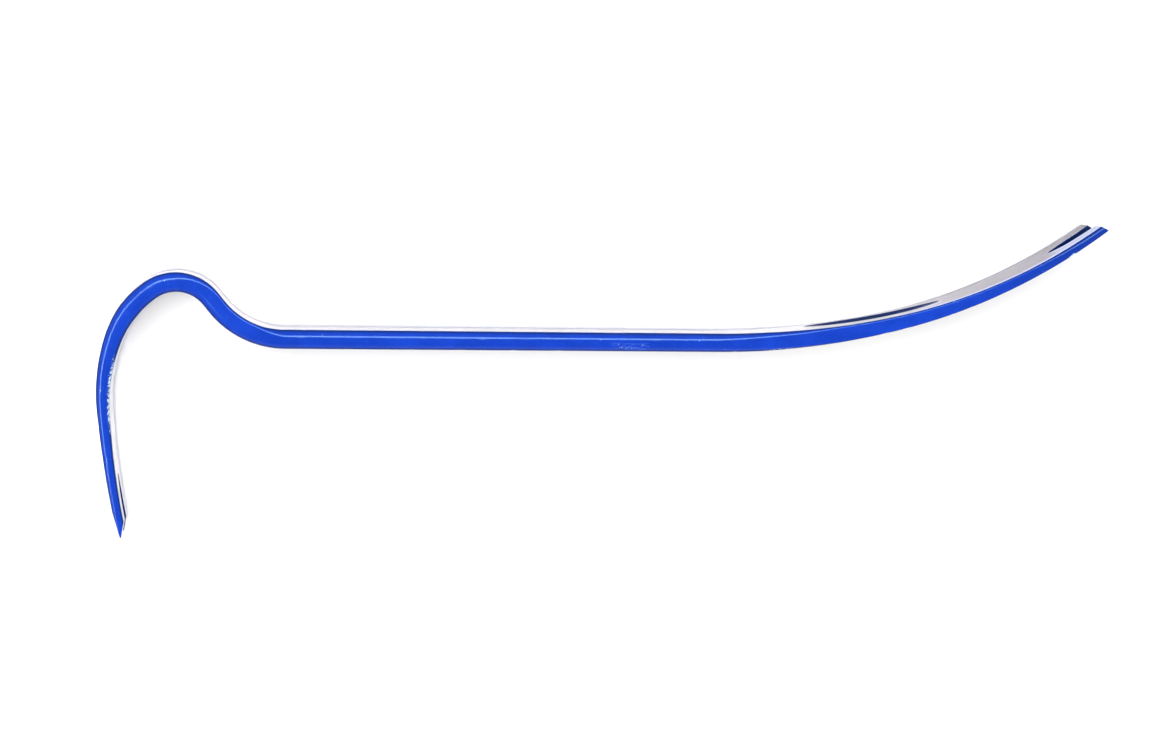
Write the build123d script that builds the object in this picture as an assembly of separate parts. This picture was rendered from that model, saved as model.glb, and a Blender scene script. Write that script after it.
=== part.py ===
from build123d import *
import math
import os

# Gooseneck wrecking bar: one steel forging, lying on its side.
# X runs along the straight shank towards the blade, Y is the way the blade
# curves up, Z is across the width. Millimetres and degrees.

# ---------------------------------------------------------------- bar stock
BAR_WIDTH = 34.0
BAR_THICKNESS = 17.0
CORNER_SHARE = 0.285  # corner bevel of the eight-sided stock, over its thickness

# ------------------------------------------------- centreline, from the claw tip
CLAW_LENGTH = 113.0
CLAW_RADIUS = 840.0
SHOULDER_RADIUS, SHOULDER_TURN = 160.0, 23.4
BROW_RADIUS, BROW_TURN = 89.0, 34.4
CROWN_RADIUS, CROWN_TURN = 37.0, 87.2
NECK_LENGTH = 8.0
THROAT_RADIUS, THROAT_TURN = 75.0, 51.6
SHANK_LENGTH = 386.0
HEEL_RADIUS, HEEL_TURN = 760.0, 13.0
BLADE_LENGTH = 219.0
BLADE_RADIUS = 526.0

# ------------------------------------------------------------- forged tapers
CLAW_TIP_THICKNESS = 8.0
CLAW_TAPER_LENGTH = 205.0
CLAW_TAPER_POWER = 1.8
BLADE_TIP_THICKNESS = 7.2
BLADE_TAPER_LENGTH = 340.0

# -------------------------------------------------------- ground and cut ends
TIP_EDGE = 1.0
BLADE_BEVEL_LENGTH = 3.0
CLAW_BEVEL_LENGTH = 13.0
CLAW_RELIEF_LENGTH = 24.0
CLAW_RELIEF_DEPTH = 2.4
CLAW_NOTCH_LENGTH = 54.0
BLADE_NOTCH_LENGTH = 51.0
NOTCH_MOUTH = 11.0
NOTCH_WAIST = 8.6  # width where the slot starts to close
NOTCH_WAIST_FROM_TIP = 36.0
NOTCH_ROOT_RADIUS = 1.8
TINE_LENGTH = 49.0

# --------------------------------------------- fuller in the top of the heel
FULLER_STATION = 913.0  # middle, along the centreline
FULLER_LENGTH = 125.0
FULLER_WIDTH = 16.0
FULLER_DEPTH = 3.6
FULLER_OFFSET = 2.6  # towards the low side of the width
FULLER_SKEW = 2.2  # degrees out of line with the bar

SECTION_SPACING = 14.0  # most distance between lofted sections
CUT_MARGIN = 30.0  # how far a cutting tool runs past the bar


def arc_length(radius, turn):
    return radius * math.radians(turn)


# Each run is a name, a length and a signed curvature, with clockwise negative.
RUNS = [
    ("claw", CLAW_LENGTH, -1 / CLAW_RADIUS),
    ("shoulder", arc_length(SHOULDER_RADIUS, SHOULDER_TURN), -1 / SHOULDER_RADIUS),
    ("brow", arc_length(BROW_RADIUS, BROW_TURN), -1 / BROW_RADIUS),
    ("crown", arc_length(CROWN_RADIUS, CROWN_TURN), -1 / CROWN_RADIUS),
    ("neck", NECK_LENGTH, 0.0),
    ("throat", arc_length(THROAT_RADIUS, THROAT_TURN), 1 / THROAT_RADIUS),
    ("shank", SHANK_LENGTH, 0.0),
    ("heel", arc_length(HEEL_RADIUS, HEEL_TURN), 1 / HEEL_RADIUS),
    ("blade", BLADE_LENGTH, 1 / BLADE_RADIUS),
]
BAR_LENGTH = sum(length for _, length, _ in RUNS)


def run_start(name):
    """Distance along the centreline from the claw tip to the start of a run."""
    names = [run[0] for run in RUNS]
    return sum(run[1] for run in RUNS[: names.index(name)])


def walk(station, x, y, heading):
    """Point and heading at a station, starting from the claw tip's own."""
    left = station
    for _, length, curvature in RUNS:
        step = min(left, length)
        turned = heading + curvature * step
        if curvature:
            x += (math.sin(turned) - math.sin(heading)) / curvature
            y -= (math.cos(turned) - math.cos(heading)) / curvature
        else:
            x += step * math.cos(heading)
            y += step * math.sin(heading)
        heading = turned
        left -= step
        if left <= 0:
            break
    return x, y, heading


# The shank lies along +X and starts at the origin, which fixes the claw tip.
SHANK_START = run_start("shank")
START_HEADING = -walk(SHANK_START, 0, 0, 0)[2]
START_X, START_Y, _ = (-value for value in walk(SHANK_START, 0, 0, START_HEADING))


def centreline(station):
    return walk(station, START_X, START_Y, START_HEADING)


# ------------------------------------------------------------ section laws
def thickness(station):
    if station < CLAW_TAPER_LENGTH:
        grown = (station / CLAW_TAPER_LENGTH) ** CLAW_TAPER_POWER
        return CLAW_TIP_THICKNESS + (BAR_THICKNESS - CLAW_TIP_THICKNESS) * grown
    to_tip = BAR_LENGTH - station
    if to_tip < BLADE_TAPER_LENGTH:
        grown = to_tip / BLADE_TAPER_LENGTH
        return BLADE_TIP_THICKNESS + (BAR_THICKNESS - BLADE_TIP_THICKNESS) * grown
    return BAR_THICKNESS


# Corner bevels over the thickness: station, outer side, inner side. They are
# squeezed flat at the throat, fade out along the heel and return at the tip.
CORNERS = [
    (0.0, CORNER_SHARE, CORNER_SHARE),
    (run_start("crown") + 20, CORNER_SHARE, CORNER_SHARE),
    (run_start("neck"), 0.10, CORNER_SHARE),
    (run_start("throat") + 40, 0.10, CORNER_SHARE),
    (run_start("shank"), CORNER_SHARE, CORNER_SHARE),
    (run_start("heel"), CORNER_SHARE, CORNER_SHARE),
    (run_start("heel") + 120, 0.08, 0.08),
    (BAR_LENGTH - 80, 0.10, 0.10),
    (BAR_LENGTH, 0.28, 0.10),
]


def corners(station):
    """Outer and inner corner bevel at a station, in millimetres."""
    for low, high in zip(CORNERS, CORNERS[1:]):
        if station <= high[0]:
            break
    part = (station - low[0]) / (high[0] - low[0])
    shares = [a + (b - a) * part for a, b in zip(low[1:], high[1:])]
    return [share * thickness(station) for share in shares]


def across(station):
    """Plane square to the bar: its x is the outer side, its y is the width."""
    x, y, heading = centreline(station)
    outer = (-math.sin(heading), math.cos(heading), 0)
    along = (math.cos(heading), math.sin(heading), 0)
    return Plane(origin=(x, y, BAR_WIDTH / 2), x_dir=outer, z_dir=along)


def section(station):
    """Eight-sided section of the bar at a station."""
    a = thickness(station) / 2
    b = BAR_WIDTH / 2
    outer, inner = corners(station)
    points = [
        (a, -b + outer),
        (a, b - outer),
        (a - outer, b),
        (-a + inner, b),
        (-a, b - inner),
        (-a, -b + inner),
        (-a + inner, -b),
        (a - outer, -b),
    ]
    return across(station) * make_face(Polyline(*points, close=True))


def stretch(start, end):
    """Solid length of the bar between two stations."""
    count = max(1, math.ceil((end - start) / SECTION_SPACING))
    stations = [start + (end - start) * i / count for i in range(count + 1)]
    return loft([section(station) for station in stations])


# ------------------------------------------------------------- cutting tools
def tip_plane(station, outward):
    """Plane of the bar's side: x points out of the tip, y to the bevelled face."""
    x, y, heading = centreline(station)
    out = (outward * math.cos(heading), outward * math.sin(heading), 0)
    return Plane(origin=(x, y, BAR_WIDTH / 2), x_dir=out, z_dir=(0, 0, 1))


def wedge(plane, corner, slope_end):
    """Removes what lies past the line from the tip corner to slope_end and on."""
    run = slope_end[0] - corner[0]
    rise = slope_end[1] - corner[1]
    far = (corner[0] + 2 * run, corner[1] + 2 * rise)
    points = [corner, far, (CUT_MARGIN, far[1]), (CUT_MARGIN, corner[1])]
    outline = make_face(Polyline(*points, close=True))
    return extrude(plane * outline, amount=BAR_WIDTH, both=True)


def notch(station, outward, length):
    """Nail slot through the thickness, open at the tip and closing to a round root."""
    root = length - NOTCH_ROOT_RADIUS
    x, y, heading = centreline(station - outward * length / 2)
    out = (outward * math.cos(heading), outward * math.sin(heading), 0)
    through = (-math.sin(heading), math.cos(heading), 0)
    plane = Plane(origin=(x, y, BAR_WIDTH / 2), x_dir=out, z_dir=through)
    half = length / 2
    flare = (NOTCH_MOUTH - NOTCH_WAIST) / 2 / NOTCH_WAIST_FROM_TIP
    past = NOTCH_MOUTH / 2 + flare * CUT_MARGIN
    edge = [
        (half - root, NOTCH_ROOT_RADIUS),
        (half - NOTCH_WAIST_FROM_TIP, NOTCH_WAIST / 2),
        (half + CUT_MARGIN, past),
    ]
    outline = edge + [(along, -side) for along, side in reversed(edge)]
    slot = make_face(Polyline(*outline, close=True))
    slot += Pos(half - root, 0) * Circle(NOTCH_ROOT_RADIUS)
    return extrude(plane * slot, amount=CUT_MARGIN, both=True)


def fuller():
    """Ring whose lower rim scoops a boat-shaped groove in the heel's top face."""
    x, y, heading = centreline(FULLER_STATION)
    groove_radius = (FULLER_WIDTH**2 / 4 + FULLER_DEPTH**2) / (2 * FULLER_DEPTH)
    bow = FULLER_LENGTH**2 / (8 * HEEL_RADIUS) + FULLER_DEPTH
    rim_radius = FULLER_LENGTH**2 / (8 * bow)
    reach = thickness(FULLER_STATION) / 2 - FULLER_DEPTH + rim_radius
    above = (x - reach * math.sin(heading), y + reach * math.cos(heading))
    centre = (*above, BAR_WIDTH / 2 - FULLER_OFFSET)
    along = (math.cos(heading), math.sin(heading), 0)
    plane = Plane(origin=centre, x_dir=along, z_dir=(0, 0, 1))
    ring = Torus(rim_radius - groove_radius, groove_radius)
    return plane * Rot(0, -FULLER_SKEW, 0) * ring


def claw_cuts():
    plane = tip_plane(0.0, -1)
    half = CLAW_TIP_THICKNESS / 2
    edge = -half + CLAW_RELIEF_DEPTH
    inner = wedge(plane, (0, edge + TIP_EDGE), (-CLAW_BEVEL_LENGTH, half))
    relief = [(-CLAW_RELIEF_LENGTH, -half - 0.1), (0, edge), (CUT_MARGIN, edge)]
    relief += [(CUT_MARGIN, -CUT_MARGIN), (-CLAW_RELIEF_LENGTH, -CUT_MARGIN)]
    outer = extrude(plane * make_face(Polyline(*relief, close=True)), BAR_WIDTH, both=True)
    return [inner, outer, notch(0.0, -1, CLAW_NOTCH_LENGTH)]


def blade_cuts():
    half = BLADE_TIP_THICKNESS / 2
    plane = tip_plane(BAR_LENGTH, 1)
    bevel = wedge(plane, (0, -half + TIP_EDGE), (-BLADE_BEVEL_LENGTH, half))
    return [bevel, notch(BAR_LENGTH, 1, BLADE_NOTCH_LENGTH)]


# ------------------------------------------------------------- the named zones
CUTS_AT_CLAW = claw_cuts()
CUTS_AT_BLADE = blade_cuts()
BLADE_START = FULLER_STATION + FULLER_LENGTH / 2 + 20

zones = {
    "claw": stretch(TINE_LENGTH, run_start("shoulder")) - CUTS_AT_CLAW,
    "shoulder": stretch(run_start("shoulder"), run_start("crown")),
    "crown": stretch(run_start("crown"), run_start("neck")),
    "gooseneck": stretch(run_start("neck"), SHANK_START),
    "shank": extrude(section(SHANK_START), SHANK_LENGTH),
    "heel": stretch(run_start("heel"), BLADE_START) - fuller(),
    "blade": stretch(BLADE_START, BAR_LENGTH - TINE_LENGTH) - CUTS_AT_BLADE,
}
tine_pairs = {
    "claw_tine": stretch(0.0, TINE_LENGTH) - CUTS_AT_CLAW,
    "blade_tine": stretch(BAR_LENGTH - TINE_LENGTH, BAR_LENGTH) - CUTS_AT_BLADE,
}
for name, pair in tine_pairs.items():
    lower, upper = pair.solids().sort_by(Axis.Z)
    zones[name + "_lower"] = lower
    zones[name + "_upper"] = upper

# The origin is under the middle of the bar's box, on the face it lies on.
box = Compound(children=[Compound(list(zone.solids())) for zone in zones.values()]).bounding_box()
to_origin = Pos(-box.center().X, -box.center().Y, -box.min.Z)

os.makedirs("parts", exist_ok=True)
for name, zone in zones.items():
    export_step(to_origin * zone, f"parts/{name}.step")
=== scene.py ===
import bisect
import math
import random

import bpy
import numpy as np
from mathutils import Matrix, Vector, noise


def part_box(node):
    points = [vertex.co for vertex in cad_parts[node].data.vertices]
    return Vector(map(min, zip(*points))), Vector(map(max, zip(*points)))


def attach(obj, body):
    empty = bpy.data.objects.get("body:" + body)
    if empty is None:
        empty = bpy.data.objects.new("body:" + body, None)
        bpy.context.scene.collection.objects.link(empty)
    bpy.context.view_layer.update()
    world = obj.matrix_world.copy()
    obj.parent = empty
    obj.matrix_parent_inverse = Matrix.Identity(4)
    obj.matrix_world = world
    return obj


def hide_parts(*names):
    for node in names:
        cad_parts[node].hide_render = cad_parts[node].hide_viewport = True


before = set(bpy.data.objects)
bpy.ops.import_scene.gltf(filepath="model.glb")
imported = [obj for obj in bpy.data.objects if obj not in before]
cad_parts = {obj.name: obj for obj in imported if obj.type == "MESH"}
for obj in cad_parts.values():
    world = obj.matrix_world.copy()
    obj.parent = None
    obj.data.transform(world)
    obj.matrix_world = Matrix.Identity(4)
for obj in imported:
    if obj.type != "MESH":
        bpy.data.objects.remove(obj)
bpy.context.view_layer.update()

# The bar is one blue-painted forging with its two wide faces ground bright. Each
# forged zone of the CAD model is replaced by a finished mesh with the same law:
# rounded corners, ground tips, nail slots, a fuller, wear and small dents.
# Lengths of the bar are in millimetres, as in the part, and MM turns them into
# metres. A station is a distance along the bar's centreline from the claw tip. The
# outer face is the one on the outside of the hook, and the upper side faces up as
# the bar lies.
MM = 0.001
random.seed(7)

# ---------------------------------------------------------------- bar stock
BAR_WIDTH = 34.0
BAR_THICKNESS = 17.0
CORNER_SHARE = 0.285

# ------------------------------------------- centreline, from the claw tip
CLAW_LENGTH, CLAW_RADIUS = 113.0, 840.0
SHOULDER_RADIUS, SHOULDER_TURN = 160.0, 23.4
BROW_RADIUS, BROW_TURN = 89.0, 34.4
CROWN_RADIUS, CROWN_TURN = 37.0, 87.2
NECK_LENGTH = 8.0
THROAT_RADIUS, THROAT_TURN = 75.0, 51.6
SHANK_LENGTH = 386.0
HEEL_RADIUS, HEEL_TURN = 760.0, 13.0
BLADE_LENGTH, BLADE_RADIUS = 219.0, 526.0

# -------------------------------------------------------------- forged tapers
CLAW_TIP_THICKNESS = 8.0
CLAW_TAPER_LENGTH = 205.0
CLAW_TAPER_POWER = 1.8
BLADE_TIP_THICKNESS = 7.2
BLADE_TAPER_LENGTH = 340.0

# -------------------------------------------------------- ground and cut ends
TIP_EDGE = 1.0
BLADE_BEVEL_LENGTH = 3.0
CLAW_BEVEL_LENGTH = 13.0
CLAW_RELIEF_LENGTH = 24.0
CLAW_RELIEF_DEPTH = 2.4
CLAW_RELIEF_OVERRUN = 0.1
CLAW_BEVEL_REACH = 1.5  # the bevel's plane ends this many bevel lengths from the tip
CLAW_NOTCH_LENGTH = 54.0
BLADE_NOTCH_LENGTH = 51.0
NOTCH_MOUTH = 11.0
NOTCH_WAIST = 8.6  # width where the slot starts to close
NOTCH_WAIST_FROM_TIP = 36.0
NOTCH_ROOT_RADIUS = 1.8
TINE_LENGTH = 49.0

# ---------------------------------------------- fuller in the heel's outer face
FULLER_STATION = 913.0
FULLER_LENGTH = 125.0
FULLER_WIDTH = 16.0
FULLER_DEPTH = 3.6
FULLER_OFFSET = 2.6  # towards the low side of the width
FULLER_SKEW = 2.2  # degrees out of line with the bar

# ------------------------------------------------------------- finish and mesh
CORNER_ROUND = 1.1  # radius where a bevel meets a wide face
RIDGE_ROUND_SHARE = 1.0  # radius where a bevel meets the side's flat, over the bevel
SHARPEST_BEVEL = 0.12  # what is left of a bevel where a tip is ground away
STEP = 1.6  # distance between loops along the bar
CLOSEST_LOOPS = 0.45 * STEP
CREASE_ANGLE = 38.0  # faces turned further apart than this keep a hard edge
SURFACE_WAVE = 0.05  # mean depth, and swing, of the forging's unevenness
# its waves to a millimetre, to a mesh line, and from the bar's middle to each side
WAVE_ALONG, WAVE_ROUND, WAVE_SIDES = 0.021, 0.11, 3.0
TIP_REACH, TIP_SHARE = 3.0, 0.4  # tips and tines are worn this share as deep
SMALLEST = 1e-12  # keeps a length that is divided by away from 0


def arc_length(radius, turn):
    return radius * math.radians(turn)


RUNS = [
    ("claw", CLAW_LENGTH, -1 / CLAW_RADIUS),
    ("shoulder", arc_length(SHOULDER_RADIUS, SHOULDER_TURN), -1 / SHOULDER_RADIUS),
    ("brow", arc_length(BROW_RADIUS, BROW_TURN), -1 / BROW_RADIUS),
    ("crown", arc_length(CROWN_RADIUS, CROWN_TURN), -1 / CROWN_RADIUS),
    ("neck", NECK_LENGTH, 0.0),
    ("throat", arc_length(THROAT_RADIUS, THROAT_TURN), 1 / THROAT_RADIUS),
    ("shank", SHANK_LENGTH, 0.0),
    ("heel", arc_length(HEEL_RADIUS, HEEL_TURN), 1 / HEEL_RADIUS),
    ("blade", BLADE_LENGTH, 1 / BLADE_RADIUS),
]
BAR_LENGTH = sum(length for _, length, _ in RUNS)


def run_start(name):
    names = [run[0] for run in RUNS]
    return sum(run[1] for run in RUNS[: names.index(name)])


def walk(station, x, y, heading):
    """Where the centreline is, and which way it heads, a station along from its start."""
    left = station
    for _, length, curvature in RUNS:
        step = min(left, length)
        turned = heading + curvature * step
        if curvature:
            x += (math.sin(turned) - math.sin(heading)) / curvature
            y -= (math.cos(turned) - math.cos(heading)) / curvature
        else:
            x += step * math.cos(heading)
            y += step * math.sin(heading)
        heading = turned
        left -= step
        if left <= 0:
            break
    return x, y, heading


SHANK_START = run_start("shank")
START_HEADING = -walk(SHANK_START, 0, 0, 0)[2]
# The shank's CAD box fixes where the centreline lies in the frame.
shank_low, shank_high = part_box("shank")
REACH_X, REACH_Y, _ = walk(SHANK_START, 0, 0, START_HEADING)
START_X = shank_low.x / MM - REACH_X
START_Y = (shank_low.y + shank_high.y) / 2 / MM - REACH_Y
MIDDLE_Z = BAR_WIDTH / 2


def centreline(station):
    return walk(station, START_X, START_Y, START_HEADING)


# -------------------------------------------------------------- section laws
def thickness(station):
    """Thickness of the bar at a station, thinner towards both tips."""
    if station < CLAW_TAPER_LENGTH:
        grown = (station / CLAW_TAPER_LENGTH) ** CLAW_TAPER_POWER
        return CLAW_TIP_THICKNESS + (BAR_THICKNESS - CLAW_TIP_THICKNESS) * grown
    to_tip = BAR_LENGTH - station
    if to_tip < BLADE_TAPER_LENGTH:
        grown = to_tip / BLADE_TAPER_LENGTH
        return BLADE_TIP_THICKNESS + (BAR_THICKNESS - BLADE_TIP_THICKNESS) * grown
    return BAR_THICKNESS


# station, outer and inner bevel over the bar's thickness there
CORNERS = [
    (0.0, CORNER_SHARE, CORNER_SHARE),
    (run_start("crown") + 20, CORNER_SHARE, CORNER_SHARE),
    (run_start("neck"), 0.10, CORNER_SHARE),
    (run_start("throat") + 40, 0.10, CORNER_SHARE),
    (run_start("shank"), CORNER_SHARE, CORNER_SHARE),
    (run_start("heel"), CORNER_SHARE, CORNER_SHARE),
    (run_start("heel") + 120, 0.08, 0.08),
    (BAR_LENGTH - 80, 0.10, 0.10),
    (BAR_LENGTH, 0.28, 0.10),
]


def corners(station):
    """Outer and inner corner bevel at a station."""
    for low, high in zip(CORNERS, CORNERS[1:]):
        if station <= high[0]:
            break
    part = (station - low[0]) / (high[0] - low[0])
    shares = [a + (b - a) * part for a, b in zip(low[1:], high[1:])]
    return [share * thickness(station) for share in shares]


def face_heights(station):
    """Height of the outer and inner face over the centreline, with the ground tips."""
    outer = inner = thickness(station) / 2
    to_tip = BAR_LENGTH - station
    half = BLADE_TIP_THICKNESS / 2
    if to_tip < BLADE_BEVEL_LENGTH:
        edge = -half + TIP_EDGE
        outer = min(outer, edge + (half - edge) * to_tip / BLADE_BEVEL_LENGTH)
    half = CLAW_TIP_THICKNESS / 2
    edge = half - CLAW_RELIEF_DEPTH
    if station < CLAW_RELIEF_LENGTH:
        rise = half + CLAW_RELIEF_OVERRUN - edge
        outer = min(outer, edge + rise * station / CLAW_RELIEF_LENGTH)
    if station < CLAW_BEVEL_LENGTH * CLAW_BEVEL_REACH:
        edge = -edge + TIP_EDGE
        inner = min(inner, edge + (half - edge) * station / CLAW_BEVEL_LENGTH)
    return outer, inner


def notch_length(station):
    return CLAW_NOTCH_LENGTH if station < BAR_LENGTH / 2 else BLADE_NOTCH_LENGTH


def slot_half_width(station):
    """Half the width of the nail slot at a station, or 0 where there is none."""
    from_tip = min(station, BAR_LENGTH - station)
    length = notch_length(station)
    root = length - NOTCH_ROOT_RADIUS
    if from_tip >= length:
        return 0.0
    if from_tip > root:
        return math.sqrt(max(0.0, NOTCH_ROOT_RADIUS**2 - (from_tip - root) ** 2))
    waist = NOTCH_WAIST_FROM_TIP
    if from_tip < waist:
        return (NOTCH_MOUTH + (NOTCH_WAIST - NOTCH_MOUTH) * from_tip / waist) / 2
    closing = (root - from_tip) / (root - waist)
    return NOTCH_ROOT_RADIUS + (NOTCH_WAIST / 2 - NOTCH_ROOT_RADIUS) * closing


GROOVE_RADIUS = (FULLER_WIDTH**2 / 4 + FULLER_DEPTH**2) / (2 * FULLER_DEPTH)
FULLER_BOW = FULLER_LENGTH**2 / (8 * HEEL_RADIUS) + FULLER_DEPTH
RIM_RADIUS = FULLER_LENGTH**2 / (8 * FULLER_BOW)


def fuller_centre():
    """Centre of the arc that the groove's floor follows along the bar."""
    x, y, heading = centreline(FULLER_STATION)
    reach = thickness(FULLER_STATION) / 2 - FULLER_DEPTH + RIM_RADIUS
    return x - reach * math.sin(heading), y + reach * math.cos(heading)


FULLER_CENTRE = fuller_centre()
FULLER_FADE = 40.0  # how far past the groove the mesh takes to return to the middle


def fuller_depth(station):
    """Depth of the boat-shaped groove on its middle line at a station."""
    if abs(station - FULLER_STATION) > FULLER_LENGTH:
        return 0.0
    x, y, heading = centreline(station)
    face = thickness(station) / 2
    top = (x - face * math.sin(heading), y + face * math.cos(heading))
    reach = math.hypot(top[0] - FULLER_CENTRE[0], top[1] - FULLER_CENTRE[1])
    return max(0.0, RIM_RADIUS - reach)


def fuller_middle(station):
    """How far the fuller's middle line lies off the bar's, and 0 well away from it."""
    along = station - FULLER_STATION
    past = max(0.0, abs(along) - FULLER_LENGTH / 2)
    fade = max(0.0, 1 - past / FULLER_FADE)
    along = max(-FULLER_LENGTH / 2, min(FULLER_LENGTH / 2, along))
    return fade * (along * math.tan(math.radians(FULLER_SKEW)) - FULLER_OFFSET)


# ----------------------------------------------------------- loops of the mesh
ARC_LIMIT = 0.45  # an arc takes up at most this share of an edge of the section


def rounded(before, corner, after, radius, count):
    """Points and outward normals of an arc that rounds a corner of a section."""
    a, b, c = (np.array(p, float) for p in (before, corner, after))
    into, out = (b - a), (c - b)
    into_length, out_length = np.linalg.norm(into), np.linalg.norm(out)
    into, out = into / into_length, out / out_length
    turn = math.acos(max(-1.0, min(1.0, float(into @ out))))
    room = ARC_LIMIT * min(into_length, out_length)
    tangent = min(radius * math.tan(turn / 2), room)
    radius = tangent / math.tan(turn / 2)
    start_normal = np.array([into[1], -into[0]])
    if start_normal @ out > 0:
        start_normal = -start_normal
    centre = b - into * tangent - start_normal * radius
    end_normal = (b + out * tangent - centre) / radius
    found = []
    for i in range(count + 1):
        part = i / count
        normal = start_normal * (1 - part) + end_normal * part
        normal /= np.linalg.norm(normal)
        found.append((centre + normal * radius, normal))
    return found


# Mesh cells round half a section: groove, rest of the outer face, each rounded
# corner, each bevel, the side's flat, the inner face, and the wall of a slot.
GROOVE_CELLS, FACE_CELLS, ARC_CELLS = 8, 9, 4
BEVEL_CELLS, SIDE_CELLS, BACK_CELLS, WALL_CELLS = 3, 5, 12, 4
# The mesh line round the fuller runs on past its ends, ever further from the middle.
NARROWEST_GROOVE, WIDEST_GROOVE_LINE, GROOVE_FLARE = 0.35, 5.0, 0.4
SLOT_LINE_SHARE = 0.3  # and beside a slot, this share of the way to the bevel
DEEP_PAINT = -9.0  # the ground mark of paint that lies well away from a ground face
OPEN_STEEL = 9.0  # the same for steel that lies well away from any paint
# The paint starts just inside the ground faces on the bar's upper side and a
# little down the bevel on its lower side.
PAINT_LINE = {1: -0.25, -1: 1.15}


def groove_line(station):
    """Where the mesh line that follows the fuller's rim lies across the face."""
    depth = fuller_depth(station)
    if depth > 0:
        half = math.sqrt(max(0.0, 2 * GROOVE_RADIUS * depth - depth**2))
        return max(NARROWEST_GROOVE, half)
    outside = max(0.0, abs(station - FULLER_STATION) - FULLER_LENGTH / 2)
    return min(WIDEST_GROOVE_LINE, NARROWEST_GROOVE + outside * GROOVE_FLARE)


def half_loop(station, side):
    """Half the section, from the slot or middle line round to it again.

    Each point is (height, across, normal height, normal across, ground, corner,
    recess): ground is the distance into the bright ground face, negative on the
    paint, corner is the distance to the nearest corner, and recess is 1 in the
    slots and the fuller."""
    outer, inner = face_heights(station)
    a = thickness(station) / 2
    b = BAR_WIDTH / 2
    big_outer, big_inner = corners(station)
    cut_outer = max(SHARPEST_BEVEL, big_outer - (a - outer))
    cut_inner = max(SHARPEST_BEVEL, big_inner - (a - inner))
    w = slot_half_width(station)
    slotted = w > 0
    depth = 0.0 if slotted else fuller_depth(station)
    middle = w if slotted else side * fuller_middle(station)
    outline = [
        (outer, w),
        (outer, b - cut_outer),
        (outer - cut_outer, b),
        (-inner + cut_inner, b),
        (-inner, b - cut_inner),
        (-inner, w),
    ]
    ridges = (RIDGE_ROUND_SHARE * cut_outer, RIDGE_ROUND_SHARE * cut_inner)
    radii = (CORNER_ROUND, *ridges, CORNER_ROUND)
    arcs = [
        rounded(outline[i], outline[i + 1], outline[i + 2], radii[i], ARC_CELLS)
        for i in range(4)
    ]
    shift = PAINT_LINE[side]
    points = []

    def add(height, across, normal, ground, corner, recess=0.0):
        points.append((height, across, normal[0], normal[1], ground, corner, recess))

    beside_slot = w + SLOT_LINE_SHARE * (b - cut_outer - w)
    line = beside_slot if slotted else groove_line(station)
    reach = line - w if slotted else line
    face_end = arcs[0][0][0][1]
    for i in range(GROOVE_CELLS + 1):
        out = reach * i / GROOVE_CELLS
        z = middle + out
        near = face_end - z
        if depth > 0:
            drop = math.sqrt(GROOVE_RADIUS**2 - out**2) - (GROOVE_RADIUS - depth)
            lean = out / GROOVE_RADIUS
            inside = 1.0 if i < GROOVE_CELLS else 0.0
            rim = line - out
            normal = (math.sqrt(1 - lean**2), -lean) if inside else (1, 0)
            add(outer - max(0.0, drop), z, normal, -rim, rim, inside)
        elif slotted:
            add(outer, z, (1, 0), min(near + shift, out), min(near, out))
        else:
            add(outer, z, (1, 0), near + shift, near)
    for i in range(1, FACE_CELLS):
        z = middle + reach + (face_end - middle - reach) * i / FACE_CELLS
        near = face_end - z
        rim = z - middle - line if depth > 0 else (z - w if slotted else OPEN_STEEL)
        add(outer, z, (1, 0), min(near + shift, rim), min(near, rim))
    strips = (0, BEVEL_CELLS, SIDE_CELLS, BEVEL_CELLS)
    corner_arc = CORNER_ROUND * math.pi / 4
    for k, arc in enumerate(arcs):
        if strips[k]:
            start, end = arcs[k - 1][-1][0], arc[0][0]
            span = float(np.linalg.norm(end - start))
            for i in range(1, strips[k]):
                part = i / strips[k]
                point = start + (end - start) * part
                ground = DEEP_PAINT
                if k == 1:
                    ground = shift - corner_arc - span * part
                elif k == 3:
                    ground = shift - corner_arc - span * (1 - part)
                add(point[0], point[1], arc[0][1], ground, span * min(part, 1 - part))
        for i, (point, normal) in enumerate(arc):
            turned = i / ARC_CELLS
            ground = DEEP_PAINT
            if k == 0:
                ground = shift - corner_arc * turned
            elif k == 3:
                ground = shift - corner_arc * (1 - turned)
            add(point[0], point[1], normal, ground, 0.0)
    back_start = arcs[3][-1][0][1]
    for i in range(1, BACK_CELLS + 1):
        z = back_start + (w - back_start) * i / BACK_CELLS
        near = back_start - z
        rim = z - w if slotted else OPEN_STEEL
        add(-inner, z, (-1, 0), min(near + shift, rim), min(near, rim))
    for i in range(1, WALL_CELLS):
        part = i / WALL_CELLS
        height = -inner + (outer - depth + inner) * part
        near = (outer + inner) * min(part, 1 - part)
        add(height, w, (0, -1), -near if slotted else OPEN_STEEL, near, 1.0)
    return points


# Every half loop has the same number of points. The last of them, on the slot's
# wall, are used only where there is a slot.
LOOP_POINTS = len(half_loop(BAR_LENGTH / 2, 1))
OPEN_POINTS = LOOP_POINTS - (WALL_CELLS - 1)


# ------------------------------------------------------------------ stations
HEEL_PAST_FULLER = 20.0
BLADE_START = FULLER_STATION + FULLER_LENGTH / 2 + HEEL_PAST_FULLER
ZONES = [
    ("claw_tine", 0.0, TINE_LENGTH),
    ("claw", TINE_LENGTH, run_start("shoulder")),
    ("shoulder", run_start("shoulder"), run_start("crown")),
    ("crown", run_start("crown"), run_start("neck")),
    ("gooseneck", run_start("neck"), SHANK_START),
    ("shank", SHANK_START, run_start("heel")),
    ("heel", run_start("heel"), BLADE_START),
    ("blade", BLADE_START, BAR_LENGTH - TINE_LENGTH),
    ("blade_tine", BAR_LENGTH - TINE_LENGTH, BAR_LENGTH),
]


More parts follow.
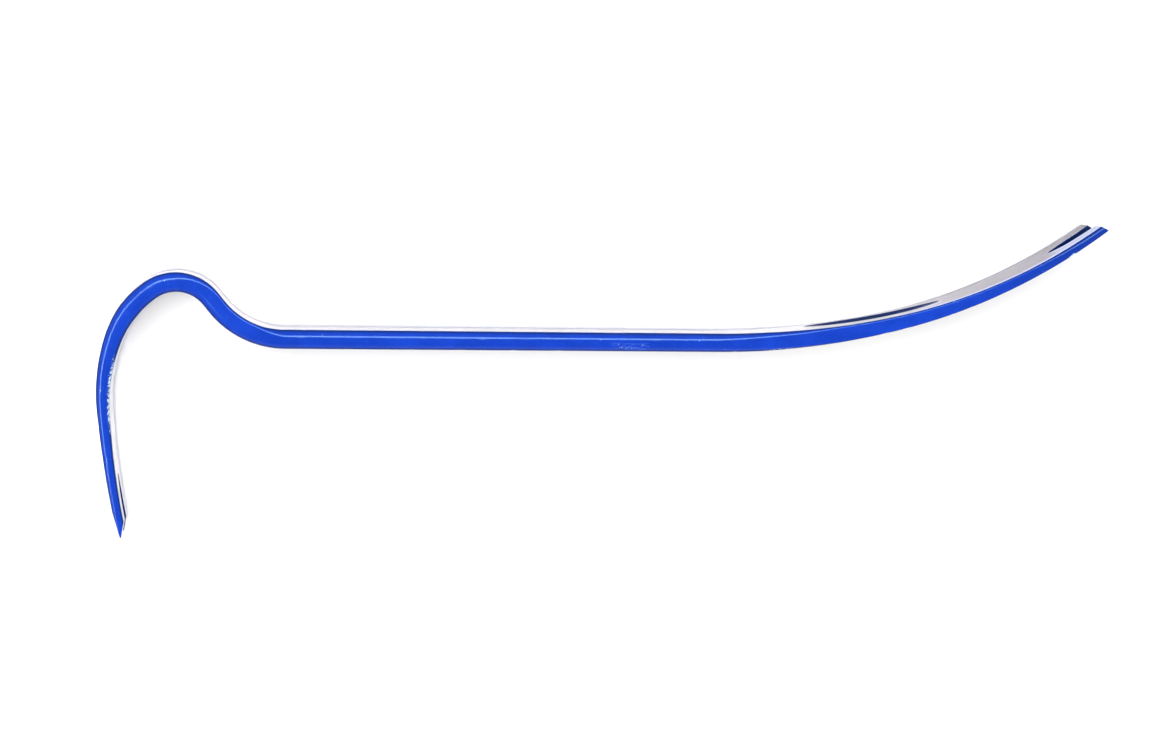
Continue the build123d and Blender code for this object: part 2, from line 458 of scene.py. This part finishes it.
ROOT_ANGLES = (20, 40, 60, 75, 84)  # degrees round a slot's root
TIP_LOOPS = [0.4, 1.2]
BEVEL_MARGIN = 0.4  # from a bevel's end to the loop on either side of it
DIGITS = 4  # places that agree to this many decimals of a millimetre are the same


def station_list():
    """Loop stations: even ones, zone ends, and closer ones at slot roots and tips."""
    fixed = [start for _, start, _ in ZONES] + [BAR_LENGTH]
    for length, bevel, tip in (
        (CLAW_NOTCH_LENGTH, CLAW_BEVEL_LENGTH, 0.0),
        (BLADE_NOTCH_LENGTH, BLADE_BEVEL_LENGTH, BAR_LENGTH),
    ):
        root = length - NOTCH_ROOT_RADIUS
        inward = TIP_LOOPS + [bevel - BEVEL_MARGIN, bevel, bevel + BEVEL_MARGIN]
        inward += [root, length]
        for angle in ROOT_ANGLES:
            inward.append(root + NOTCH_ROOT_RADIUS * math.sin(math.radians(angle)))
        fixed += [abs(tip - value) for value in inward]
    fixed = sorted(set(round(value, DIGITS) for value in fixed))
    stations = list(fixed)
    count = int(BAR_LENGTH / STEP)
    for i in range(count + 1):
        value = BAR_LENGTH * i / count
        place = bisect.bisect(fixed, value)
        near = [abs(value - other) for other in fixed[max(0, place - 1) : place + 1]]
        if min(near) > CLOSEST_LOOPS:
            stations.append(value)
    return sorted(stations)


# ------------------------------------------------------------------ wear
NICK_LENGTHS, NICK_DEPTHS = (1.6, 4.5), (0.1, 0.42)
NICK_MARGIN = 4.0  # none starts nearer than this to a tip


def make_nicks(count):
    """Small dents on the corners: station, side, corner number, length, depth."""
    found = []
    for _ in range(count):
        station = random.uniform(NICK_MARGIN, BAR_LENGTH - NICK_MARGIN)
        side = random.choice((-1, 1))
        which = random.randrange(4)
        length = random.uniform(*NICK_LENGTHS)
        depth = random.uniform(*NICK_DEPTHS)
        found.append((station, side, which, length, depth))
    return found


def corner_lines():
    """The mesh line in the middle of each rounded corner."""
    found = []
    line = GROOVE_CELLS + FACE_CELLS
    for cells in (1, BEVEL_CELLS, SIDE_CELLS, BEVEL_CELLS):
        line += cells - 1
        found.append(line + ARC_CELLS // 2)
        line += ARC_CELLS + 1
    return found


RANDOM_NICKS = 90
# One bigger nick near the blade's tip, on the upper side where the bevel meets the
# inner face, made of two dents side by side.
EDGE_NICK = [(1098.5, 1, 3, 1.6, 0.8), (1103.0, 1, 3, 2.2, 0.6)]
NICKS = make_nicks(RANDOM_NICKS) + EDGE_NICK
NICK_SPREAD = 2.4  # mesh lines over which a nick fades round the section
NICK_REACH = 3  # a nick is left out further away than this many of its lengths
CORNER_LINES = corner_lines()


def dent(station, side, index):
    """How far wear has pushed a mesh point in, in millimetres."""
    depth = 0.0
    for where, nick_side, which, length, deep in NICKS:
        if nick_side != side or abs(station - where) > NICK_REACH * length:
            continue
        far = abs(index - CORNER_LINES[which])
        if far <= ARC_CELLS:
            along = math.exp(-(((station - where) / length) ** 2))
            depth += deep * along * math.exp(-((far / NICK_SPREAD) ** 2))
    return depth


def plateau(value, start, end, soft):
    """0 outside start and end, rising to 1 between them over soft from each."""
    return max(0.0, min(1.0, (value - start) / soft, (end - value) / soft))


# Worn or scuffed paint on the upper side: from and to along the bar, first and last
# mesh line counted round the half section from the outer face's middle, strength.
WORN = [
    (87.0, 167.0, 38, 46, 0.95),
    (100.0, 156.0, 37, 46, 0.3),
    (1096.0, 1106.0, 33, 44, 2.4),
    (652.0, 692.0, 31, 39, 0.5),
    (794.0, 830.0, 38, 44, 0.75),
]
LONG_PATCH, LONG_FADE, SHORT_FADE = 20.0, 8.0, 4.0
LINE_FADE = 1.5  # mesh lines


def wear(station, side, index):
    """How worn the paint is at a mesh point: 0 where it is whole."""
    if side < 0:
        return 0.0
    total = 0.0
    for start, end, first, last, strength in WORN:
        fade = LONG_FADE if end - start > LONG_PATCH else SHORT_FADE
        along = plateau(station, start, end, fade)
        total += strength * along * plateau(index, first - 1, last + 1, LINE_FADE)
    return total


def worn_in(station, side, index, recess):
    """How far a mesh point lies inside the CAD surface, in millimetres."""
    at = Vector((station * WAVE_ALONG, index * WAVE_ROUND, side * WAVE_SIDES))
    wave = noise.noise(at)
    push = SURFACE_WAVE * (1 + wave)
    if index < OPEN_POINTS:
        push += dent(station, side, index)
    if recess or index in (0, OPEN_POINTS - 1):
        push = SURFACE_WAVE
    near_tip = min(station, BAR_LENGTH - station) < TIP_REACH
    if slot_half_width(station) > 0 or near_tip:
        push *= TIP_SHARE
    return push


# ------------------------------------------------------------- the whole bar
LINE_TRACK = 0.001  # one mesh line's share of the track attribute's second number


def without_repeats(values):
    return list(dict.fromkeys(values))


def build_bar():
    """The bar's loops, mesh points with their marks, and faces with their zones."""
    stations = station_list()
    places, marks, index_of = [], [], {}
    grid = {}
    for i, station in enumerate(stations):
        x, y, heading = centreline(station)
        for side in (-1, 1):
            loop = half_loop(station, side)
            for j, (height, across, up, out, ground, corner, recess) in enumerate(loop):
                push = worn_in(station, side, j, recess)
                h = height - up * push
                z = across - out * push
                if slot_half_width(station) == 0:
                    if j == 0:
                        z = across
                    elif j >= OPEN_POINTS - 1:
                        z = 0.0
                place = (
                    x - h * math.sin(heading),
                    y + h * math.cos(heading),
                    MIDDLE_Z + side * z,
                )
                key = tuple(round(value, DIGITS) for value in place)
                if key not in index_of:
                    index_of[key] = len(places)
                    places.append(place)
                    worn = wear(station, side, j)
                    marks.append((station, side * (j + 1), ground, corner, recess, worn))
                grid[i, side, j] = index_of[key]
    faces, zone_of = [], []

    def face(corner_list, zone):
        unique = without_repeats(corner_list)
        if len(unique) > 2:
            faces.append(unique)
            zone_of.append(zone)

    for i in range(len(stations) - 1):
        middle = (stations[i] + stations[i + 1]) / 2
        zone = next(k for k, (_, start, end) in enumerate(ZONES) if start <= middle <= end)
        slotted = slot_half_width(middle) > 0
        for side in (-1, 1):
            label = (zone, side if ZONES[zone][0].endswith("tine") else 0)
            ring = [*range(LOOP_POINTS), 0] if slotted else [*range(OPEN_POINTS)]
            for j, k in zip(ring, ring[1:]):
                spots = ((i, j), (i + 1, j), (i + 1, k), (i, k))
                quad = [grid[loop, side, line] for loop, line in spots]
                face(quad[::-1] if side > 0 else quad, label)
    return stations, grid, np.array(places), np.array(marks), faces, zone_of


def face_areas(places, faces):
    """Normal of each face, as long as its area."""
    found = np.zeros((len(faces), 3))
    for i, corner_list in enumerate(faces):
        p = places[corner_list]
        found[i] = np.cross(p[2] - p[0], p[3 % len(p)] - p[1]) / 2
        if len(p) == 3:
            found[i] = np.cross(p[1] - p[0], p[2] - p[0]) / 2
    return found


def corner_normals(places, faces, weighted):
    """Smooth normal of each face corner, kept apart across hard edges."""
    around = [[] for _ in range(len(places))]
    for i, corner_list in enumerate(faces):
        for corner in corner_list:
            around[corner].append(i)
    size = np.linalg.norm(weighted, axis=1, keepdims=True)
    unit = weighted / np.maximum(size, SMALLEST)
    limit = math.cos(math.radians(CREASE_ANGLE))
    found = []
    for i, corner_list in enumerate(faces):
        own = []
        for corner in corner_list:
            near = around[corner]
            close = unit[near] @ unit[i] > limit
            total = weighted[near][close].sum(axis=0)
            own.append(total / max(np.linalg.norm(total), SMALLEST))
        found.append(own)
    return found


def zone_mesh(name, chosen, caps, places, marks, faces, normals):
    """One zone's closed mesh, with its marks as attributes and its own normals."""
    used, local = [], {}
    new_faces, loop_normals = [], []

    def number(vertex):
        if vertex not in local:
            local[vertex] = len(used)
            used.append(vertex)
        return local[vertex]

    for i in chosen:
        new_faces.append([number(v) for v in faces[i]])
        loop_normals.extend(normals[i])
    for ring, direction in caps:
        new_faces.append([number(v) for v in ring])
        loop_normals.extend([direction] * len(ring))
    mesh = bpy.data.meshes.new(name)
    mesh.from_pydata([tuple(places[v] * MM) for v in used], [], new_faces)
    for polygon in mesh.polygons:
        polygon.use_smooth = True
    mesh.normals_split_custom_set([tuple(n) for n in loop_normals])
    kept = marks[used]
    track = mesh.attributes.new("track", "FLOAT_VECTOR", "POINT")
    vectors = np.zeros((len(used), 3))
    vectors[:, 0] = kept[:, 0] * MM
    vectors[:, 1] = kept[:, 1] * LINE_TRACK
    track.data.foreach_set("vector", vectors.ravel())
    for attribute, column in (("ground", 2), ("corner", 3), ("recess", 4), ("wear", 5)):
        layer = mesh.attributes.new(attribute, "FLOAT", "POINT")
        layer.data.foreach_set("value", kept[:, column])
    piece = bpy.data.objects.new(name, mesh)
    bpy.context.scene.collection.objects.link(piece)
    return piece


def end_ring(grid, i, side, slotted):
    """Vertices round the bar, or round one tine, at a loop."""
    if slotted:
        ring = [grid[i, side, j] for j in range(LOOP_POINTS)]
    else:
        ring = [grid[i, 1, j] for j in range(OPEN_POINTS)]
        ring += [grid[i, -1, j] for j in range(OPEN_POINTS - 2, 0, -1)]
    return without_repeats(ring)


def facing(ring, places, direction):
    """The ring turned so that its face looks along direction."""
    p = places[ring]
    centre = p.mean(axis=0)
    around = np.zeros(3)
    for a, b in zip(p, np.roll(p, -1, axis=0)):
        around += np.cross(a - centre, b - centre)
    return ring if around @ direction > 0 else ring[::-1]


def make_pieces(material):
    """One closed piece for each CAD node, with end faces where zones meet."""
    stations, grid, places, marks, faces, zone_of = build_bar()
    weighted = face_areas(places, faces)
    normals = corner_normals(places, faces, weighted)
    for k, (zone, start, end) in enumerate(ZONES):
        sides = (-1, 1) if zone.endswith("tine") else (0,)
        for side in sides:
            node = zone + {-1: "_lower", 1: "_upper", 0: ""}[side]
            chosen = [i for i, label in enumerate(zone_of) if label == (k, side)]
            caps = []
            for station, outward in ((start, -1), (end, 1)):
                i = min(range(len(stations)), key=lambda n: abs(stations[n] - station))
                heading = centreline(station)[2]
                direction = outward * np.array([math.cos(heading), math.sin(heading), 0.0])
                slotted = slot_half_width(station) > 0
                ring_sides = ((side,) if side else (-1, 1)) if slotted else (0,)
                for ring_side in ring_sides:
                    ring = end_ring(grid, i, ring_side, slotted)
                    caps.append((facing(ring, places, direction), direction))
            piece = zone_mesh(node + "_forged", chosen, caps, places, marks, faces, normals)
            piece.data.materials.append(material)
            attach(piece, "root")
            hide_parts(node)


# -------------------------------------------------------------- materials
def node_maker(material):
    """A function that adds a node to the material, with its inputs and settings."""
    material.use_nodes = True
    tree = material.node_tree
    tree.nodes.clear()

    def node(kind, inputs=None, **settings):
        made = tree.nodes.new(kind)
        for key, value in settings.items():
            setattr(made, key, value)
        for key, value in (inputs or {}).items():
            if isinstance(value, bpy.types.NodeSocket):
                tree.links.new(value, made.inputs[key])
            else:
                made.inputs[key].default_value = value
        return made

    return node


def maths(node, operation, a, b=0.0, clamp=False):
    """Output of a Math node."""
    made = node("ShaderNodeMath", {0: a, 1: b}, operation=operation, use_clamp=clamp)
    return made.outputs[0]


def ramp(node, value, low, high):
    """0 at low, 1 at high, and smooth between."""
    made = node(
        "ShaderNodeMapRange",
        {"Value": value, "From Min": low, "From Max": high},
        interpolation_type="SMOOTHSTEP",
    )
    return made.outputs["Result"]


def mixed(node, factor, a, b):
    """Colour a where the factor is 0 and b where it is 1."""
    made = node("ShaderNodeMix", {0: factor}, data_type="RGBA")
    for socket, value in ((made.inputs[6], a), (made.inputs[7], b)):
        if isinstance(value, bpy.types.NodeSocket):
            made.id_data.links.new(value, socket)
        else:
            socket.default_value = value
    return made.outputs[2]


# Colours are linear RGB. The first of a pair of steels is for the claw and shank,
# and the second is for the blade.
BRIGHT_STEEL = (0.55, 0.535, 0.55, 1), (0.345, 0.327, 0.35, 1)
DULL_STEEL = (0.46, 0.445, 0.46, 1), (0.238, 0.226, 0.245, 1)
# painted reflection: a bluish steel along the upper edge of the ground faces
UPPER_EDGE_REFLECTION_STEEL = (0.34, 0.37, 0.45, 1), (0.56, 0.60, 0.92, 1)
# painted highlight: a paler steel that brightens the claw's ground faces
CLAW_HIGHLIGHT_STEEL = (0.80, 0.79, 0.80, 1)
# painted shade: a dark steel for the low edge of the ground faces
LOW_EDGE_SHADE_STEEL = (0.27, 0.245, 0.25, 1)
# painted reflection: a brighter, bluish steel for the upper blade tine
UPPER_TINE_REFLECTION_STEEL = (0.52, 0.55, 0.70, 1)
WARM_STAIN = (0.52, 0.42, 0.41, 1)

# The pair is the range that the enamel's cloudiness runs over.
ENAMEL_CLOUD = (0.0010, 0.0345, 0.445, 1), (0.0026, 0.0445, 0.53, 1)
ENAMEL_SPECK = (0.014, 0.085, 0.66, 1)
BLADE_ENAMEL = (0.0012, 0.026, 0.30, 1)
# painted shade: a dark enamel beside the ground faces
EDGE_SHADE_ENAMEL = (0.001, 0.020, 0.15, 1)
# painted shade: a dark enamel for the slots and the fuller
RECESS_SHADE_ENAMEL = (0.0012, 0.008, 0.060, 1)
SCUFFED_ENAMEL = (0.06, 0.15, 0.60, 1)
PRIMER = (0.56, 0.70, 0.80, 1)
ENAMEL_SHINE = (0.46, 0.80, 1.0, 1)
NEUTRAL_SHINE = (1, 1, 1, 1)


def forging_material():
    """Glossy blue enamel on the sides and bevels, bright ground steel on the faces.

    Stations here are in metres from the claw tip. ground and corner are distances
    in millimetres, as half_loop gives them."""
    material = bpy.data.materials.new("blue_enamel_and_ground_steel")
    node = node_maker(material)
    place = node("ShaderNodeTexCoord").outputs["Object"]
    track = node("ShaderNodeAttribute", attribute_name="track").outputs["Vector"]
    ground, corner, recess, worn = (
        node("ShaderNodeAttribute", attribute_name=name).outputs["Fac"]
        for name in ("ground", "corner", "recess", "wear")
    )
    where = node("ShaderNodeSeparateXYZ", {0: track})
    station, profile = where.outputs["X"], where.outputs["Y"]

    def grain(vector, scale, detail=3.0, rough=0.5):
        made = node(
            "ShaderNodeTexNoise",
            {"Vector": vector, "Scale": scale, "Detail": detail, "Roughness": rough},
        )
        return made.outputs["Fac"]

    def streaks(lengthwise, crosswise, detail=3.0, rough=0.5):
        """Noise that is stretched to follow the bar."""
        stretched = node(
            "ShaderNodeVectorMath",
            {0: track, 1: (lengthwise, crosswise, 1.0)},
            operation="MULTIPLY",
        )
        return grain(stretched.outputs[0], 1.0, detail, rough)

    def times(a, b, clamp=False):
        return maths(node, "MULTIPLY", a, b, clamp)

    def plus(a, b):
        return maths(node, "ADD", a, b)

    def minus(a, b):
        return maths(node, "SUBTRACT", a, b)

    # ground faces: linishing lines along the bar, and broader dull streaks
    lines = streaks(24.0, 1100.0, 4.0, 0.6)
    broad = streaks(9.0, 260.0)
    fine = grain(place, 1500.0, 2.0)
    blade = ramp(node, station, 0.90, 1.00)
    bright = mixed(node, blade, *BRIGHT_STEEL)
    dull = mixed(node, blade, *DULL_STEEL)
    steel = mixed(node, ramp(node, lines, 0.68, 0.30), bright, dull)
    steel = mixed(node, times(ramp(node, broad, 0.5, 0.8), 0.6), steel, dull)

    # painted light and shade on the steel: a paler claw as a painted highlight, a dark
    # low edge that is darkest on the hump as painted shade, and a brighter upper blade
    # tine and a bluish upper edge that is palest on the blade as painted reflections
    claw = ramp(node, station, 0.34, 0.20)
    hump = times(ramp(node, station, 0.17, 0.20), ramp(node, station, 0.38, 0.33))
    low_side = ramp(node, profile, 0.0, -4 * LINE_TRACK)
    upper_side = ramp(node, profile, 0.0, 4 * LINE_TRACK)
    # painted shade along the low edge of the ground faces, darkest on the hump
    low_edge_shade = times(low_side, ramp(node, ground, 9.0, 4.0))
    low_edge_shade = times(low_edge_shade, plus(times(hump, 0.65), 0.15))
    # painted reflection that makes the upper blade tine brighter and bluish
    tine = times(upper_side, ramp(node, station, 1.08, 1.10))
    # painted bluish reflection along the upper edge of the ground faces, palest on the
    # blade
    upper_edge_reflection = times(upper_side, ramp(node, ground, 4.6, 0.9))
    # painted highlight: the claw's steel is made paler
    steel = mixed(node, times(claw, 0.7), steel, CLAW_HIGHLIGHT_STEEL)
    steel = mixed(node, low_edge_shade, steel, LOW_EDGE_SHADE_STEEL)
    steel = mixed(node, times(tine, 0.6), steel, UPPER_TINE_REFLECTION_STEEL)
    upper_edge_reflection_steel = mixed(node, blade, *UPPER_EDGE_REFLECTION_STEEL)
    steel = mixed(node, times(upper_edge_reflection, 0.85), steel, upper_edge_reflection_steel)
    stain = times(ramp(node, streaks(55.0, 150.0), 0.52, 0.72), 0.25)
    steel = mixed(node, stain, steel, WARM_STAIN)

    # enamel: slight cloudiness, darker on the blade, painted shade along the ground
    # faces, and painted shade in the slots and the fuller
    cloud = grain(place, 48.0, 4.0)
    speck = grain(place, 520.0, 2.0)
    enamel = mixed(node, ramp(node, cloud, 0.3, 0.7), *ENAMEL_CLOUD)
    enamel = mixed(node, ramp(node, speck, 0.64, 0.82), enamel, ENAMEL_SPECK)
    enamel = mixed(node, ramp(node, station, 0.95, 1.18), enamel, BLADE_ENAMEL)
    # painted shade: the enamel darkens towards the ground faces
    edge_shade = times(ramp(node, ground, -4.8, -1.7), 0.85)
    enamel = mixed(node, edge_shade, enamel, EDGE_SHADE_ENAMEL)
    # painted shade in the slots and the fuller
    enamel = mixed(node, times(recess, 0.93), enamel, RECESS_SHADE_ENAMEL)

    # where the paint stops: the line wanders a little, and corners are chipped
    wander = times(minus(grain(place, 240.0), 0.5), 0.7)
    ground_bare = ramp(node, plus(ground, wander), -0.10, 0.06)
    chip_seed = grain(place, 420.0, 3.0, 0.65)
    near_corner = ramp(node, corner, 0.45, 0.0)
    chip = times(near_corner, ramp(node, chip_seed, 0.715, 0.745))
    bare = maths(node, "MAXIMUM", ground_bare, chip)

    # worn paint: dull scuffs, and flecks of pale primer where it is worn most
    scuff_seed = streaks(70.0, 420.0, 4.0, 0.65)
    scuff = times(ramp(node, worn, 0.0, 0.35), ramp(node, scuff_seed, 0.45, 0.68))
    enamel = mixed(node, times(scuff, 0.7), enamel, SCUFFED_ENAMEL)
    fleck_seed = streaks(420.0, 520.0, 4.0, 0.7)
    fleck = ramp(node, plus(fleck_seed, times(worn, 0.20)), 0.70, 0.76)
    fleck = times(fleck, minus(1.0, bare), clamp=True)
    paint = mixed(node, fleck, enamel, PRIMER)
    colour = mixed(node, bare, paint, steel)

    rough_steel = plus(times(lines, 0.16), 0.20)
    rough_enamel = plus(times(cloud, 0.10), 0.17)
    rough = node(
        "ShaderNodeMix", {0: bare, 2: rough_enamel, 3: rough_steel}, data_type="FLOAT"
    )
    peel = times(grain(place, 150.0, 2.0), 0.5)
    scratches = plus(times(lines, 0.5), times(fine, 0.2))
    relief = node("ShaderNodeMix", {0: bare, 2: peel, 3: scratches}, data_type="FLOAT")
    height = minus(relief.outputs[0], times(bare, 0.8))
    bump = node("ShaderNodeBump", {"Height": height, "Strength": 0.3, "Distance": 0.0002})
    # the enamel's highlights are sky blue, the steel's are neutral
    shine = mixed(node, bare, ENAMEL_SHINE, NEUTRAL_SHINE)
    shader = node(
        "ShaderNodeBsdfPrincipled",
        {
            "Base Color": colour,
            "Metallic": bare,
            "Roughness": rough.outputs[0],
            "Specular IOR Level": 0.20,
            "Specular Tint": shine,
            "Normal": bump.outputs["Normal"],
        },
    )
    node("ShaderNodeOutputMaterial", {"Surface": shader.outputs[0]})
    return material


FLOOR_TONES = (0.945, 0.945, 0.95, 1), (0.965, 0.965, 0.965, 1)
FLOOR_HALF_SIZE = 6.0


def floor_material():
    material = bpy.data.materials.new("pale_floor")
    node = node_maker(material)
    place = node("ShaderNodeTexCoord").outputs["Object"]
    tone = node("ShaderNodeTexNoise", {"Vector": place, "Scale": 3.0, "Detail": 2.0})
    colour = mixed(node, ramp(node, tone.outputs["Fac"], 0.3, 0.7), *FLOOR_TONES)
    shader = node("ShaderNodeBsdfDiffuse", {"Color": colour})
    node("ShaderNodeOutputMaterial", {"Surface": shader.outputs[0]})
    return material


# ------------------------------------------------------------------ the studio
def make_floor():
    size = FLOOR_HALF_SIZE
    mesh = bpy.data.meshes.new("floor")
    mesh.from_pydata(
        [(-size, -size, 0), (size, -size, 0), (size, size, 0), (-size, size, 0)],
        [],
        [(0, 1, 2, 3)],
    )
    mesh.materials.append(floor_material())
    floor = bpy.data.objects.new("floor", mesh)
    bpy.context.scene.collection.objects.link(floor)


def make_light(name, place, aim, size, power, colour=(1, 1, 1), only_shine=False):
    """A soft panel. One that is only shine shows in reflections and lights nothing."""
    data = bpy.data.lights.new(name, "AREA")
    data.shape = "RECTANGLE"
    data.size, data.size_y = size
    data.energy = power
    data.color = colour
    light = bpy.data.objects.new(name, data)
    light.visible_diffuse = not only_shine
    light.location = place
    light.rotation_mode = "QUATERNION"
    light.rotation_quaternion = (Vector(aim) - Vector(place)).to_track_quat("-Z", "Y")
    bpy.context.scene.collection.objects.link(light)


SKY = (0.96, 0.98, 1.0)
AMBIENT = 1.22


def make_studio():
    make_floor()
    middle, claw_end = (-0.1, 0, 0), (-0.4, -0.05, 0)
    make_light("strip_behind", (-0.1, 1.35, 2.0), middle, (3.4, 1.0), 310, SKY, True)
    make_light("strip_left", (-1.9, -0.1, 1.9), claw_end, (2.0, 0.9), 165, SKY, True)
    make_light("key", (-1.0, 1.0, 1.9), middle, (1.0, 1.0), 7)
    world = bpy.data.worlds.new("studio")
    world.use_nodes = True
    background = world.node_tree.nodes["Background"]
    background.inputs["Color"].default_value = (1.0, 1.0, 1.0, 1)
    background.inputs["Strength"].default_value = AMBIENT
    bpy.context.scene.world = world
    bpy.context.scene.view_settings.view_transform = "Standard"


# ------------------------------------------------------------------ the camera
CAMERA_PLACE = (-0.3001, 0.1941, 1.1128)
CAMERA_AIM = (-0.1668, 0.0098, 0.034)
CAMERA_ROLL = 1.51  # degrees
CAMERA_LENS, CAMERA_SENSOR = 38.36, 36.0
CAMERA_SHIFT = 0.13


def make_camera():
    data = bpy.data.cameras.new("camera")
    data.lens = CAMERA_LENS
    data.sensor_width = CAMERA_SENSOR
    data.shift_x = CAMERA_SHIFT
    camera = bpy.data.objects.new("camera", data)
    back = (Vector(CAMERA_PLACE) - Vector(CAMERA_AIM)).normalized()
    right = Vector((0, 1, 0)).cross(back).normalized()
    up = back.cross(right)
    turn = Matrix((right, up, back)).transposed().to_4x4()
    roll = Matrix.Rotation(math.radians(CAMERA_ROLL), 4, "Z")
    camera.matrix_world = Matrix.Translation(CAMERA_PLACE) @ turn @ roll
    bpy.context.scene.collection.objects.link(camera)
    bpy.context.scene.camera = camera


make_camera()
make_studio()
make_pieces(forging_material())
